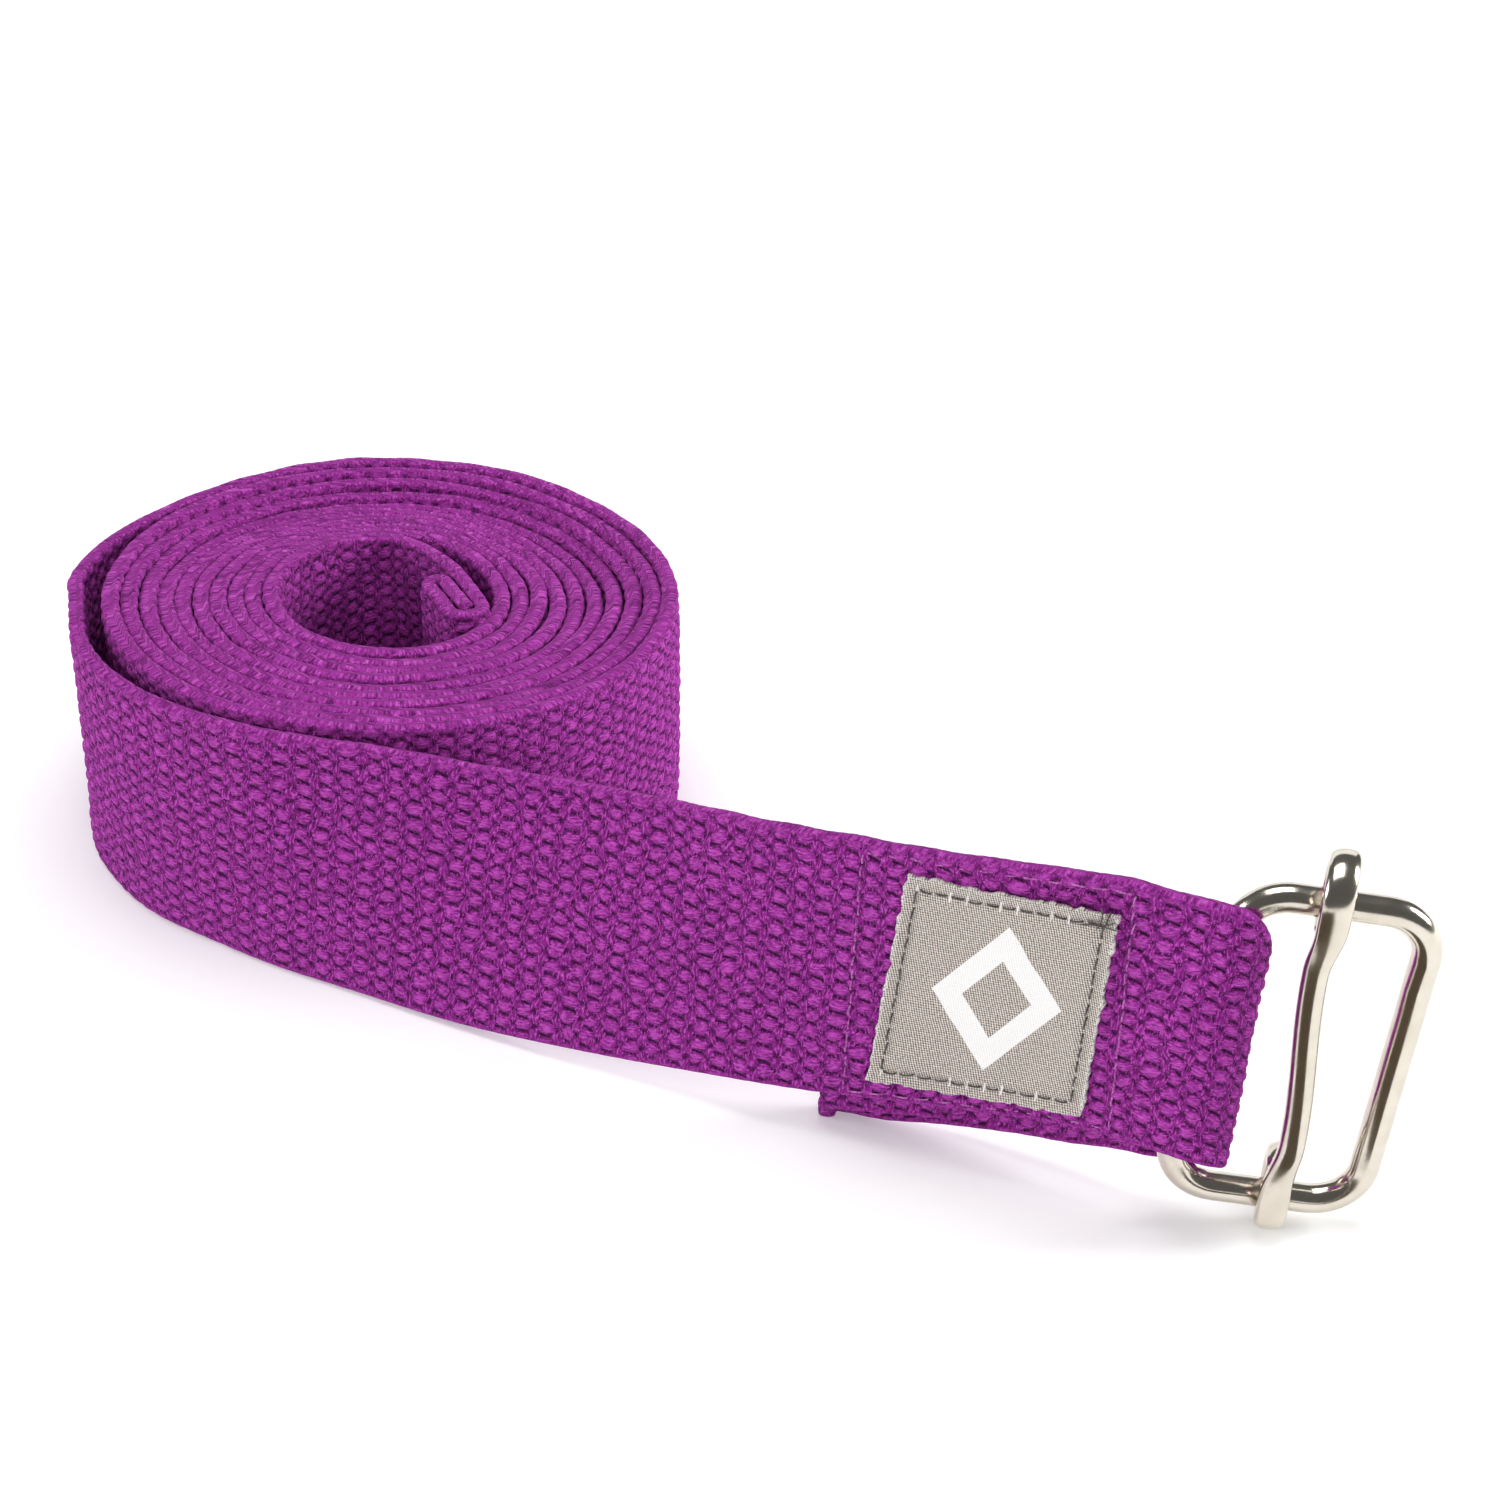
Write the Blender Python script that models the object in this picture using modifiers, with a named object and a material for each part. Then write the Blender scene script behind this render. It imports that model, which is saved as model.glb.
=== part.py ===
"""Stretching strap: cotton webbing wound into a coil that stands on its edge, its free run ending in a
sewn loop that holds a wire slide buckle. Metres, +Z up, floor at z = 0."""

import math

import bmesh
import bpy
from mathutils import Vector

# Webbing
WIDTH = 0.038
THICKNESS = 0.0022
GAP = 0.0003  # left between faces that touch

# Wound coil, measured to the outer face of the webbing
COIL_CENTRE = Vector((-0.0457, 0.0309, 0))
COIL_RADIUS = 0.0436  # at the front of the last full turn
COIL_PITCH = THICKNESS + GAP + 0.00005
COIL_OVAL = 0.0008
LAST_TURN_SLACK = 0.0036
LEAVES_COIL_DEG = 180
EYE_DEG = -3504  # where the innermost turn leaves the wall of the eye
STEP_DEG = 12

# Free run: outer face of the lower edge, as (x, y, lift off the floor, lean back in degrees), from the
# coil's centre. The webbing twists as it leaves the coil, and the buckle holds its end up.
RUN_ROUTE = (
    (-0.0497, -0.0012, 0.0000, 0),
    (-0.0446, -0.0205, 0.0000, 0),
    (-0.0358, -0.0330, 0.0000, 0),
    (-0.0210, -0.0435, 0.0001, 1),
    (-0.0020, -0.0540, 0.0004, 9.5),
    (0.0160, -0.0630, 0.0010, 17.5),
    (0.0335, -0.0710, 0.0027, 17.5),
    (0.0500, -0.0780, 0.0047, 12),
    (0.0660, -0.0845, 0.0067, 7.5),
    (0.0820, -0.0903, 0.0091, 3),
    (0.0985, -0.0980, 0.0121, 1.5),
    (0.1136, -0.1080, 0.0138, 5.0),
)
RUN_STEPS = 4  # stations between two route points

# Sewn loop at the end of the run. Distances run back from the tip of the fold.
LOOP_THICK = 0.0091
LOOP_ROUND = 0.0095  # the loop keeps its full thickness this far, and is flat from the seam on
SEAM_FROM_FOLD = 0.0150
FOLD_BACK = 0.0565  # to the turned-under end
TURN_UNDER = 0.0160
FOLD_SLANT = 0.0012  # the top of the fold reaches this much further than its foot
FOLD_PRESS = 0.0052  # the buckle's corner presses the top edge down by this much at the fold
BACK_DROP_FOLD = 0.0018  # how far the back layer has slipped down at the fold, seam and end
BACK_DROP_SEAM = 0.0048
BACK_DROP_END = 0.0060

# Double-folded hem at the inner end, in the eye of the coil
HEM_FRONT = Vector((0.0146, -0.0030, 0))
HEM_HEADING = Vector((0.420, -0.907, 0)).normalized()
HEM_LENGTH = 0.0115
HEM_ROUTE = ((0.0086, 0.0094), (0.0064, 0.0127), (0.0038, 0.0157), (0.0009, 0.0181))

# Wire slide buckle
WIRE = 0.0039
FRAME_LENGTH = 0.0241  # between the centres of the two long bars
FRAME_HEIGHT = 0.0450  # between the centres of the two short sides
FRAME_FOOT_STRETCH = 1.055  # the lower short side is this much longer than the upper one
FRAME_CORNER = 0.0062
BAR_FOOT = Vector((0.1090, -0.1005, 0.0065))  # lower end of the loop bar's axis, from the coil's centre
BAR_TILT = math.radians(8.2)  # in the plane of the frame
BAR_LEAN = math.radians(0.5)  # away from the front
SLIDE_FOOT = 0.0137  # from the loop bar to the slide bar's lower and upper rings
SLIDE_HEAD = 0.0103
SLIDE_LIFT = 0.0013  # the rings hang this far off the centres of the short sides
SLIDE_ROD = 0.0034
SLIDE_STRIP_WIDTH = 0.0041
SLIDE_STRIP_DEPTH = 0.0023
SLIDE_RING = 0.0046  # from a ring's centre to the middle of its strip
SLIDE_RING_SWEEP = math.radians(296)
SLIDE_ASKEW = 0.24  # sideways shift of a ring per metre behind its strip, so that both hang askew
SLIDE_ROUND_FROM = 0.0085  # from a ring's centre to where the strip has become a round rod

# Label and seams
LABEL_LENGTH = 0.0315
LABEL_HEIGHT = 0.0310
LABEL_THICKNESS = 0.0006
LABEL_FROM_FOLD = 0.0168
LABEL_LOW_EDGE = 0.0024
LABEL_STITCH_INSET = 0.0018
THREAD = 0.0005
THREAD_GAP = 0.0001
BOX_SEAM = (0.0145, 0.0518)  # its two ends, from the tip of the fold
BOX_SEAM_INSET = 0.0012


def clear_scene():
    for obj in list(bpy.data.objects):
        bpy.data.objects.remove(obj, do_unlink=True)


def collection_of(name):
    made = bpy.data.collections.new(name)
    bpy.context.scene.collection.children.link(made)
    return made


def material(name, colour, roughness, metallic=0.0):
    made = bpy.data.materials.new(name)
    made.use_nodes = True
    shader = made.node_tree.nodes["Principled BSDF"]
    shader.inputs["Base Color"].default_value = (*colour, 1)
    shader.inputs["Roughness"].default_value = roughness
    shader.inputs["Metallic"].default_value = metallic
    return made


def add_object(name, data, surface, collection):
    obj = bpy.data.objects.new(name, data)
    data.materials.append(surface)
    collection.objects.link(obj)
    return obj


def grid_mesh(name, columns):
    """A mesh of quads between neighbouring columns of points."""
    mesh = bpy.data.meshes.new(name)
    shape = bmesh.new()
    rows = [[shape.verts.new(point) for point in column] for column in columns]
    for left, right in zip(rows, rows[1:]):
        for low in range(len(left) - 1):
            shape.faces.new((left[low], right[low], right[low + 1], left[low + 1]))
    shape.to_mesh(mesh)
    shape.free()
    return mesh


def ribbon(name, edges, thickness, surface, collection):
    """A strip through rows of points on its outer face, thickened inwards."""
    obj = add_object(name, grid_mesh(name, edges), surface, collection)
    solid = obj.modifiers.new("thickness", "SOLIDIFY")
    solid.thickness = thickness
    solid.offset = -1
    return obj


def wire(name, points, diameter, closed, sides, surface, collection):
    """A round wire along points: a ring, or a piece with flat ends."""
    curve = bpy.data.curves.new(name, "CURVE")
    curve.dimensions = "3D"
    curve.bevel_depth = diameter / 2
    curve.bevel_resolution = sides // 2 - 2
    curve.use_fill_caps = not closed
    spline = curve.splines.new("POLY")
    spline.points.add(len(points) - 1)
    for knot, point in zip(spline.points, points):
        knot.co = (*point, 1)
    spline.use_cyclic_u = closed
    return add_object(name, curve, surface, collection)


def ease(amount):
    amount = min(max(amount, 0.0), 1.0)
    return amount * amount * (3 - 2 * amount)


def mixed(low, high, amount):
    return low + (high - low) * amount


# The wound coil and its hem


def coil_point(angle_deg):
    """The outer face of the wound webbing, at an angle that grows outwards turn by turn."""
    angle = math.radians(angle_deg)
    radius = COIL_RADIUS + COIL_PITCH * (angle_deg + 90) / 360 - COIL_OVAL * math.cos(angle)
    radius += LAST_TURN_SLACK * ease((angle_deg - 95) / 80)
    return Vector((math.cos(angle), math.sin(angle), 0)) * radius


def hem_point(back, depth):
    """A place in the hem: how far back from its front fold, and how far in from its outer face."""
    inward = Vector((HEM_HEADING.y, -HEM_HEADING.x, 0))
    return HEM_FRONT - HEM_HEADING * back + inward * depth


def half_turn(radius, depth, steps):
    """(reach, depth) round a fold that starts at a depth and ends two radii deeper."""
    found = []
    for step in range(steps + 1):
        angle = math.pi * step / steps
        found.append((radius * math.sin(angle), depth + radius * (1 - math.cos(angle))))
    return found


def coil_route():
    """The outer face of the wound webbing, from its raw end in the hem to where it leaves the coil."""
    layer = THICKNESS + GAP
    small = (2 * THICKNESS + GAP) / 2
    large = (layer + 2 * small) / 2
    straight = HEM_LENGTH - small
    route = [hem_point(amount * straight, layer) for amount in (0.0, 0.33, 0.67)]
    route += [hem_point(straight + reach, depth) for reach, depth in half_turn(small, layer, 8)]
    route += [hem_point(amount * straight, 2 * large) for amount in (0.67, 0.33)]
    route += [hem_point(-reach, depth) for reach, depth in half_turn(large, 0, 10)[::-1]]
    route += [hem_point(amount * straight, 0) for amount in (0.33, 0.67, 1.0)]
    route += [Vector((x, y, 0)) for x, y in HEM_ROUTE]
    route += [coil_point(angle) for angle in range(EYE_DEG, LEAVES_COIL_DEG + 1, STEP_DEG)]
    return route


# The free run and its loop


def run_rows():
    """(place, lean) along the run, on one smooth curve through the hand-set points (Catmull-Rom)."""
    rows = [tuple(2 * a - b for a, b in zip(RUN_ROUTE[0], RUN_ROUTE[1])), *RUN_ROUTE]
    rows.append(tuple(2 * a - b for a, b in zip(RUN_ROUTE[-1], RUN_ROUTE[-2])))
    found = []
    for p, q, r, s in zip(rows, rows[1:], rows[2:], rows[3:]):
        for step in range(RUN_STEPS):
            t = step / RUN_STEPS
            x, y, z, lean = (
                0.5 * (2 * b + (c - a) * t + (2 * a - 5 * b + 4 * c - d) * t**2 + (3 * b - a - 3 * c + d) * t**3)
                for a, b, c, d in zip(p, q, r, s)
            )
            found.append((Vector((x, y, z)), lean))
    x, y, z, lean = RUN_ROUTE[-1]
    return found + [(Vector((x, y, z)), lean)]


class Run:
    """The run's front layer, read by how far back a place is from the tip of the fold."""

    def __init__(self):
        self.rows = run_rows()[::-1]
        self.back = [0.0]
        for (a, _), (b, _) in zip(self.rows, self.rows[1:]):
            self.back.append(self.back[-1] + (b - a).length)

    def frame(self, back):
        """Place on the front layer's lower outer edge, and the ways along, inward and up the webbing."""
        index = 0
        while index < len(self.back) - 2 and self.back[index + 1] < back:
            index += 1
        (here, lean_here), (there, lean_there) = self.rows[index : index + 2]
        amount = (back - self.back[index]) / (self.back[index + 1] - self.back[index])
        along = (here - there).normalized()
        if 0 < index < len(self.rows) - 2:
            before = (self.rows[index - 1][0] - there).normalized()
            after = (here - self.rows[index + 2][0]).normalized()
            along = mixed(before, after, min(max(amount, 0), 1)).normalized()
        lean = math.radians(mixed(lean_here, lean_there, amount))
        side = Vector((-along.y, along.x, 0)).normalized()
        inward = side * math.cos(lean) - Vector((0, 0, math.sin(lean)))
        up = side * math.sin(lean) + Vector((0, 0, math.cos(lean)))
        return here + (there - here) * amount, along, inward, up

    def at(self, back, height, depth):
        """A point by its distance back from the fold, height up the webbing and depth behind its front."""
        place, _, inward, up = self.frame(back)
        return place + up * height + inward * depth


def run_edges(run):
    """(lower, upper) outer edges of the run, its loop, its back layer and its turned-under end."""
    small = (2 * THICKNESS + GAP) / 2
    round_ = LOOP_THICK / 2
    flat = 2 * small + THICKNESS + GAP
    stops = [(back, 0.0) for back in run.back[::-1] if back > 0.0180]
    stops += [(back, 0.0) for back in (0.0150, 0.0120, 0.0095, 0.0070)]
    stops += [(round_ - reach, depth) for reach, depth in half_turn(round_, 0, 12)]
    stops += [(back, LOOP_THICK) for back in (0.0070, LOOP_ROUND)]
    stops += [(0.0120, mixed(LOOP_THICK, flat, 0.55)), (SEAM_FROM_FOLD, flat)]
    straight = FOLD_BACK - small
    stops += [(mixed(SEAM_FROM_FOLD, straight, amount), flat) for amount in (0.17, 0.33, 0.5, 0.67, 0.83)]
    stops += [(straight + reach, depth) for reach, depth in half_turn(small, THICKNESS + GAP, 8)[::-1]]
    stops += [(straight - amount * TURN_UNDER, THICKNESS + GAP) for amount in (0.25, 0.5, 0.75, 1.0)]
    edges = []
    for back, depth in stops:
        place, along, inward, up = run.frame(back)
        near = ease(1 - (back - round_) / (SEAM_FROM_FOLD - round_))
        press = FOLD_PRESS * ease(1 - (back - LOOP_ROUND) / 0.006)
        if back <= SEAM_FROM_FOLD:
            drop = mixed(BACK_DROP_SEAM, BACK_DROP_FOLD, near) * min(depth / LOOP_THICK, 1)
        else:
            drop = mixed(BACK_DROP_SEAM, BACK_DROP_END, (back - SEAM_FROM_FOLD) / (FOLD_BACK - SEAM_FROM_FOLD))
            drop *= min(depth / (2 * THICKNESS), 1)
        low = place + inward * depth - up * drop
        if low.z < 0.0001:
            low += up * (0.0001 - low.z) / up.z
        edges.append((low, low + up * (WIDTH - press) + along * FOLD_SLANT * near))
    return edges


# The buckle


def frame_axes():
    """Ways along the frame's short sides, up its bars, and out of its front."""
    up = Vector((0, math.sin(BAR_LEAN), math.cos(BAR_LEAN)))
    across = Vector((math.cos(BAR_TILT), 0, 0)) - up * math.sin(BAR_TILT)
    along = Vector((math.sin(BAR_TILT), 0, 0)) + up * math.cos(BAR_TILT)
    return across, along, across.cross(along)


def frame_points():
    """The centre line of the frame's wire: a rectangle with rounded corners."""
    across, along, _ = frame_axes()
    found = []
    corners = ((1, 1, 0), (0, 1, 90), (0, 0, 180), (1, 0, 270))
    for right, top, start in corners:
        x = mixed(FRAME_CORNER, FRAME_LENGTH - FRAME_CORNER, right)
        y = mixed(FRAME_CORNER, FRAME_HEIGHT - FRAME_CORNER, top)
        for step in range(7):
            angle = math.radians(start + 90 * step / 6)
            reach = (x + FRAME_CORNER * math.cos(angle), y + FRAME_CORNER * math.sin(angle))
            stretch = mixed(FRAME_FOOT_STRETCH, 1, reach[1] / FRAME_HEIGHT)
            found.append(BAR_FOOT + across * reach[0] * stretch + along * reach[1])
    return found


def slide_sections():
    """Rings of points along the slide bar: a curled strip, a round rod, and a curled strip."""
    across, along, front = frame_axes()
    foot = BAR_FOOT + across * SLIDE_FOOT
    head = BAR_FOOT + across * SLIDE_HEAD + along * FRAME_HEIGHT
    length = (head - foot).length
    rise = (head - foot).normalized()
    foot = foot + rise * SLIDE_LIFT
    wide = rise.cross(front).normalized()
    steps = 16
    turn = [SLIDE_RING_SWEEP * step / steps for step in range(steps + 1)]
    path = [(-SLIDE_RING * math.sin(a), SLIDE_RING * math.cos(a), 0.0) for a in turn[::-1]]
    rod = (0.0025, 0.0045, 0.0065, SLIDE_ROUND_FROM, length / 2)
    rod += tuple(length - value for value in rod[-2::-1])
    for height in rod:
        near = min(height, length - height)
        path.append((height, SLIDE_RING, ease((near - 0.0015) / (SLIDE_ROUND_FROM - 0.0015))))
    path += [(length + SLIDE_RING * math.sin(a), SLIDE_RING * math.cos(a), 0.0) for a in turn]
    rings = []
    for index, (height, reach, rounded) in enumerate(path):
        before = path[max(index - 1, 0)]
        after = path[min(index + 1, len(path) - 1)]
        way = (rise * (after[0] - before[0]) + front * (after[1] - before[1])).normalized()
        thick = way.cross(wide)
        half_wide = mixed(SLIDE_STRIP_WIDTH, SLIDE_ROD, rounded) / 2
        half_deep = mixed(SLIDE_STRIP_DEPTH, SLIDE_ROD, rounded) / 2
        power = mixed(0.65, 1.0, rounded)
        askew = wide * (SLIDE_RING - reach) * SLIDE_ASKEW
        centre = foot + rise * height + front * reach + askew
        ring = []
        for side in range(16):
            angle = 2 * math.pi * side / 16
            x = math.copysign(abs(math.cos(angle)) ** power, math.cos(angle)) * half_wide
            y = math.copysign(abs(math.sin(angle)) ** power, math.sin(angle)) * half_deep
            ring.append(centre + wide * x + thick * y)
        rings.append(ring)
    return rings


def swept_mesh(name, rings):
    """A closed skin over rings of points, with a flat cap at each end."""
    mesh = bpy.data.meshes.new(name)
    shape = bmesh.new()
    rows = [[shape.verts.new(point) for point in ring] for ring in rings]
    for low, high in zip(rows, rows[1:]):
        for side in range(len(low)):
            after = (side + 1) % len(low)
            shape.faces.new((low[side], low[after], high[after], high[side]))
    shape.faces.new(rows[0][::-1])
    shape.faces.new(rows[-1])
    bmesh.ops.recalc_face_normals(shape, faces=shape.faces)
    shape.to_mesh(mesh)
    shape.free()
    mesh.shade_smooth()
    return mesh


# Label and threads


def frame_loop(run, near, far, low, high, depth, drop=0.0):
    """A closed rectangle of points that follows the run's front layer at a depth."""
    found = []
    steps = 12
    found += [run.at(mixed(near, far, step / steps), low - drop, depth) for step in range(steps)]
    found += [run.at(far, mixed(low, high, step / 3) - drop, depth) for step in range(3)]
    found += [run.at(mixed(far, near, step / steps), high - drop, depth) for step in range(steps)]
    found += [run.at(near, mixed(high, low, step / 3) - drop, depth) for step in range(3)]
    return found


def shifted(points):
    return [point + COIL_CENTRE for point in points]


def main():
    clear_scene()
    strap = collection_of("stretching_strap")
    cotton = material("webbing", (0.28, 0.032, 0.255), 0.9)
    cotton_run = material("webbing_run", (0.28, 0.032, 0.255), 0.9)
    nickel = material("nickel_frame", (0.72, 0.68, 0.60), 0.16, 1.0)
    nickel_slide = material("nickel_slide", (0.72, 0.68, 0.60), 0.16, 1.0)
    tape = material("label_tape", (0.45, 0.39, 0.34), 0.8)
    dark = material("label_yarn", (0.16, 0.14, 0.12), 0.8)
    purple = material("seam_yarn", (0.34, 0.05, 0.31), 0.8)

    upright = Vector((0, 0, WIDTH))
    coil = [shifted((point, point + upright)) for point in coil_route()]
    ribbon("webbing_coil", coil, THICKNESS, cotton, strap)

    run = Run()
    edges = [shifted(pair) for pair in run_edges(run)]
    ribbon("webbing_run", edges, THICKNESS, cotton_run, strap)

    wire("buckle_frame", shifted(frame_points()), WIRE, True, 16, nickel, strap)
    sections = [shifted(ring) for ring in slide_sections()]
    add_object("slide_bar", swept_mesh("slide_bar", sections), nickel_slide, strap)

    face = -(GAP + LABEL_THICKNESS)
    far = LABEL_FROM_FOLD + LABEL_LENGTH
    top = LABEL_LOW_EDGE + LABEL_HEIGHT
    rows = [mixed(far, LABEL_FROM_FOLD, step / 12) for step in range(13)]
    patch = [shifted((run.at(back, LABEL_LOW_EDGE, face), run.at(back, top, face))) for back in rows]
    ribbon("label", patch, LABEL_THICKNESS, tape, strap)

    above = THREAD / 2 + THREAD_GAP
    inset = LABEL_STITCH_INSET
    loop = frame_loop(run, LABEL_FROM_FOLD + inset, far - inset, LABEL_LOW_EDGE + inset, top - inset, face - above)
    wire("label_thread", shifted(loop), THREAD, True, 6, dark, strap)

    near, far = BOX_SEAM
    low, high = BOX_SEAM_INSET, WIDTH - BOX_SEAM_INSET
    loop = frame_loop(run, near, far, low, high, -(above + GAP))
    wire("box_seam_front", shifted(loop), THREAD, True, 6, purple, strap)
    behind = 3 * THICKNESS + 3 * GAP + above
    loop = frame_loop(run, near + 0.0012, far - 0.0030, low + 0.001, high, behind, BACK_DROP_SEAM)
    wire("box_seam_back", shifted(loop), THREAD, True, 6, purple, strap)

    foot = hem_point(HEM_LENGTH * 0.45, -above)
    line = [foot + upright * amount for amount in (0.05, 0.35, 0.65, 0.95)]
    wire("hem_thread", shifted(line), THREAD, False, 6, purple, strap)


main()
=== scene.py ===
"""Looks for the stretching strap: woven cotton webbing, a sewn label, threads and a nickel slide buckle."""

import math

import bpy
import numpy as np
from mathutils import Matrix, Vector


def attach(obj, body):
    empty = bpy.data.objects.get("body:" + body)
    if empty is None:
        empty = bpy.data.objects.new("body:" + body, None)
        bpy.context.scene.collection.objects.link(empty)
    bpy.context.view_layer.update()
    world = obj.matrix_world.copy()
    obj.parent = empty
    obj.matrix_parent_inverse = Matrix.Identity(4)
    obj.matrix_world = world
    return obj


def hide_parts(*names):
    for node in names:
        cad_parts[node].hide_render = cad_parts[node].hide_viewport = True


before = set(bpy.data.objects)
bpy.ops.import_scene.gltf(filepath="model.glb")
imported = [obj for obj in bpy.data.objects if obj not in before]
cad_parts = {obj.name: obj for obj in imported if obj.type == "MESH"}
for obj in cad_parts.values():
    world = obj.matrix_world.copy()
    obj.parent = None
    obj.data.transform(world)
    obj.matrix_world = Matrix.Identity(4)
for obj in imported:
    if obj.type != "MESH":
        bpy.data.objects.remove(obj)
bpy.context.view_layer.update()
rng = np.random.default_rng(7)

# Sizes shared with the CAD part, in metres, apart from the three BACK_DROP values, which are larger here
WIDTH = 0.038
LAYER = 0.0025
COIL_CENTRE = np.array([-0.0457, 0.0309, 0])
COIL_RADIUS = 0.0436
COIL_PITCH = 0.00255
COIL_OVAL = 0.0008
LAST_TURN_SLACK = 0.0036
EYE_DEG = -3504
LEAVES_COIL_DEG = 180
RUN_ROUTE = (
    (-0.0497, -0.0012, 0.0000, 0),
    (-0.0446, -0.0205, 0.0000, 0),
    (-0.0358, -0.0330, 0.0000, 0),
    (-0.0210, -0.0435, 0.0001, 1),
    (-0.0020, -0.0540, 0.0004, 9.5),
    (0.0160, -0.0630, 0.0010, 17.5),
    (0.0335, -0.0710, 0.0027, 17.5),
    (0.0500, -0.0780, 0.0047, 12),
    (0.0660, -0.0845, 0.0067, 7.5),
    (0.0820, -0.0903, 0.0091, 3),
    (0.0985, -0.0980, 0.0121, 1.5),
    (0.1136, -0.1080, 0.0138, 5.0),
)
LOOP_THICK = 0.0091
LOOP_ROUND = 0.0095
SEAM_FROM_FOLD = 0.0150
FOLD_BACK = 0.0565
TURN_UNDER = 0.0160
FOLD_SLANT = 0.0012
FOLD_PRESS = 0.0052
BACK_DROP_FOLD = 0.0044
BACK_DROP_SEAM = 0.0066
BACK_DROP_END = 0.0062
HEM_FRONT = np.array([0.0146, -0.0030, 0])
HEM_HEADING = np.array([0.420, -0.907, 0]) / math.hypot(0.420, 0.907)
HEM_LENGTH = 0.0115
HEM_ROUTE = ((0.0086, 0.0094), (0.0064, 0.0127), (0.0038, 0.0157), (0.0009, 0.0181))
WIRE = 0.0039
FRAME_LENGTH = 0.0241
FRAME_HEIGHT = 0.0450
FRAME_FOOT_STRETCH = 1.055
FRAME_CORNER = 0.0062
BAR_FOOT = np.array([0.1090, -0.1005, 0.0065]) + COIL_CENTRE
BAR_TILT = math.radians(8.2)
BAR_LEAN = math.radians(0.5)
SLIDE_FOOT = 0.0137
SLIDE_HEAD = 0.0103
SLIDE_LIFT = 0.0013
SLIDE_ROD = 0.0034
SLIDE_STRIP_WIDTH = 0.0041
SLIDE_STRIP_DEPTH = 0.0023
SLIDE_RING = 0.0046
SLIDE_RING_SWEEP = math.radians(296)
SLIDE_ASKEW = 0.24
SLIDE_ROUND_FROM = 0.0085

# The weave: bumps in staggered rows
THICK = 0.00240
WOUND_THICK = 0.00262  # the turns of the coil press against each other
PICK = 0.00335  # one full wave of a warp yarn along the webbing
PAIR = 0.00233  # two rows of bumps
WEAVE_DEPTH = 0.00024

# Label, as sewn: its middle from the fold and up the webbing, and how far its corners are from there,
# to the right and up, from the lower left one round
LABEL_BACK = 0.03255
LABEL_UP = 0.0179
LABEL_CORNERS = ((-0.0160, -0.0144), (0.0142, -0.0153), (0.0165, 0.0158), (-0.0125, 0.0170))
LABEL_SIZE = (0.0300, 0.0312)
LABEL_THICK = 0.0006

# Cotton yarn on the screen: dark for the painted shade in the gaps and for darker yarn, the floats' own
# colour, and light for the painted highlight on their crests and for lighter yarn
GAP_SHADE_AND_DARK_YARN_COLOUR = (74, 14, 75)
BASE_COLOUR = (154, 43, 149)
CREST_HIGHLIGHT_AND_LIGHT_YARN_COLOUR = (214, 92, 207)
FURROW_SHADOW_COLOUR = (52, 9, 54)  # painted shadow in the furrows between the rows of floats
RIM_COLOUR = (212, 104, 206)  # the light strands of the edges
BOX_SEAM = (0.0145, 0.0518)


def linear(red, green, blue):
    """A screen colour, 0 to 255, as linear light."""
    values = (red, green, blue)
    return tuple(((v / 255 + 0.055) / 1.055) ** 2.4 if v > 10 else v / 255 / 12.92 for v in values)


def ease(amount):
    amount = np.clip(amount, 0.0, 1.0)
    return amount * amount * (3 - 2 * amount)


def unit(rows):
    return rows / np.linalg.norm(rows, axis=-1, keepdims=True)


def smooth_rows(t, rows, at):
    """One smooth curve through rows at t, read at the places at."""
    slope = np.gradient(rows, t, axis=0)
    i = np.clip(np.searchsorted(t, at, side="right") - 1, 0, len(t) - 2)
    h = (t[i + 1] - t[i])[:, None]
    x = (at - t[i])[:, None] / h
    low = (2 * x**3 - 3 * x**2 + 1) * rows[i] + (x**3 - 2 * x**2 + x) * h * slope[i]
    return low + (3 * x**2 - 2 * x**3) * rows[i + 1] + (x**3 - x**2) * h * slope[i + 1]


def waves(s, v, seed, longest, shortest, count=14):
    """Smooth random undulation over two lengths, about -1 to 1."""
    made = np.random.default_rng(seed)
    total = np.zeros(np.broadcast(s, v).shape)
    for _ in range(count):
        size = math.exp(made.uniform(math.log(shortest), math.log(longest)))
        way = made.uniform(0, math.pi)
        phase = made.uniform(0, 2 * math.pi)
        total = total + np.sin(2 * math.pi * (s * math.cos(way) + v * math.sin(way)) / size + phase)
    return total / math.sqrt(count)


# Where the webbing runs


def coil_place(angle_deg):
    angle = np.radians(angle_deg)
    radius = COIL_RADIUS + COIL_PITCH * (angle_deg + 90) / 360 - COIL_OVAL * np.cos(angle)
    radius = radius + LAST_TURN_SLACK * ease((angle_deg - 122) / 57)
    radius = radius - 0.0013 * (radius / COIL_RADIUS) ** 2 * ease(np.sin(angle))
    # The inner turns lie looser to the right and left
    deep = np.maximum(0.0, (90 - angle_deg) / 360)
    radius = radius - 0.00017 * deep * (1.25 * np.cos(angle) ** 2 + 0.65 * np.cos(angle))
    return np.stack([np.cos(angle) * radius, np.sin(angle) * radius, 0 * radius], -1)


def coil_rise(angle_deg):
    """How far a turn has slipped up or down: the outer ones stand up at the back, the middle ones sink."""
    deep = np.maximum(0.0, (90 - angle_deg) / 360)
    turns_in = (0, 1, 2, 3, 4, 5, 8, 10)
    at_back = np.interp(deep, turns_in, (0.9, 0.3, -0.6, -1.7, -2.7, -2.4, -1.4, -0.8)) / 1000
    at_front = 0.0002 * np.sin(deep * 2.1) - 0.0008 * ease(deep / 5)
    back = ease((1 + np.sin(np.radians(angle_deg))) / 2)
    tilt = -0.0013 * np.cos(np.radians(angle_deg)) - 0.0004 * ease(np.cos(np.radians(angle_deg)))
    return at_front + (at_back - at_front) * back + tilt - 0.0014 * ease((angle_deg - 100) / 60)


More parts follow.
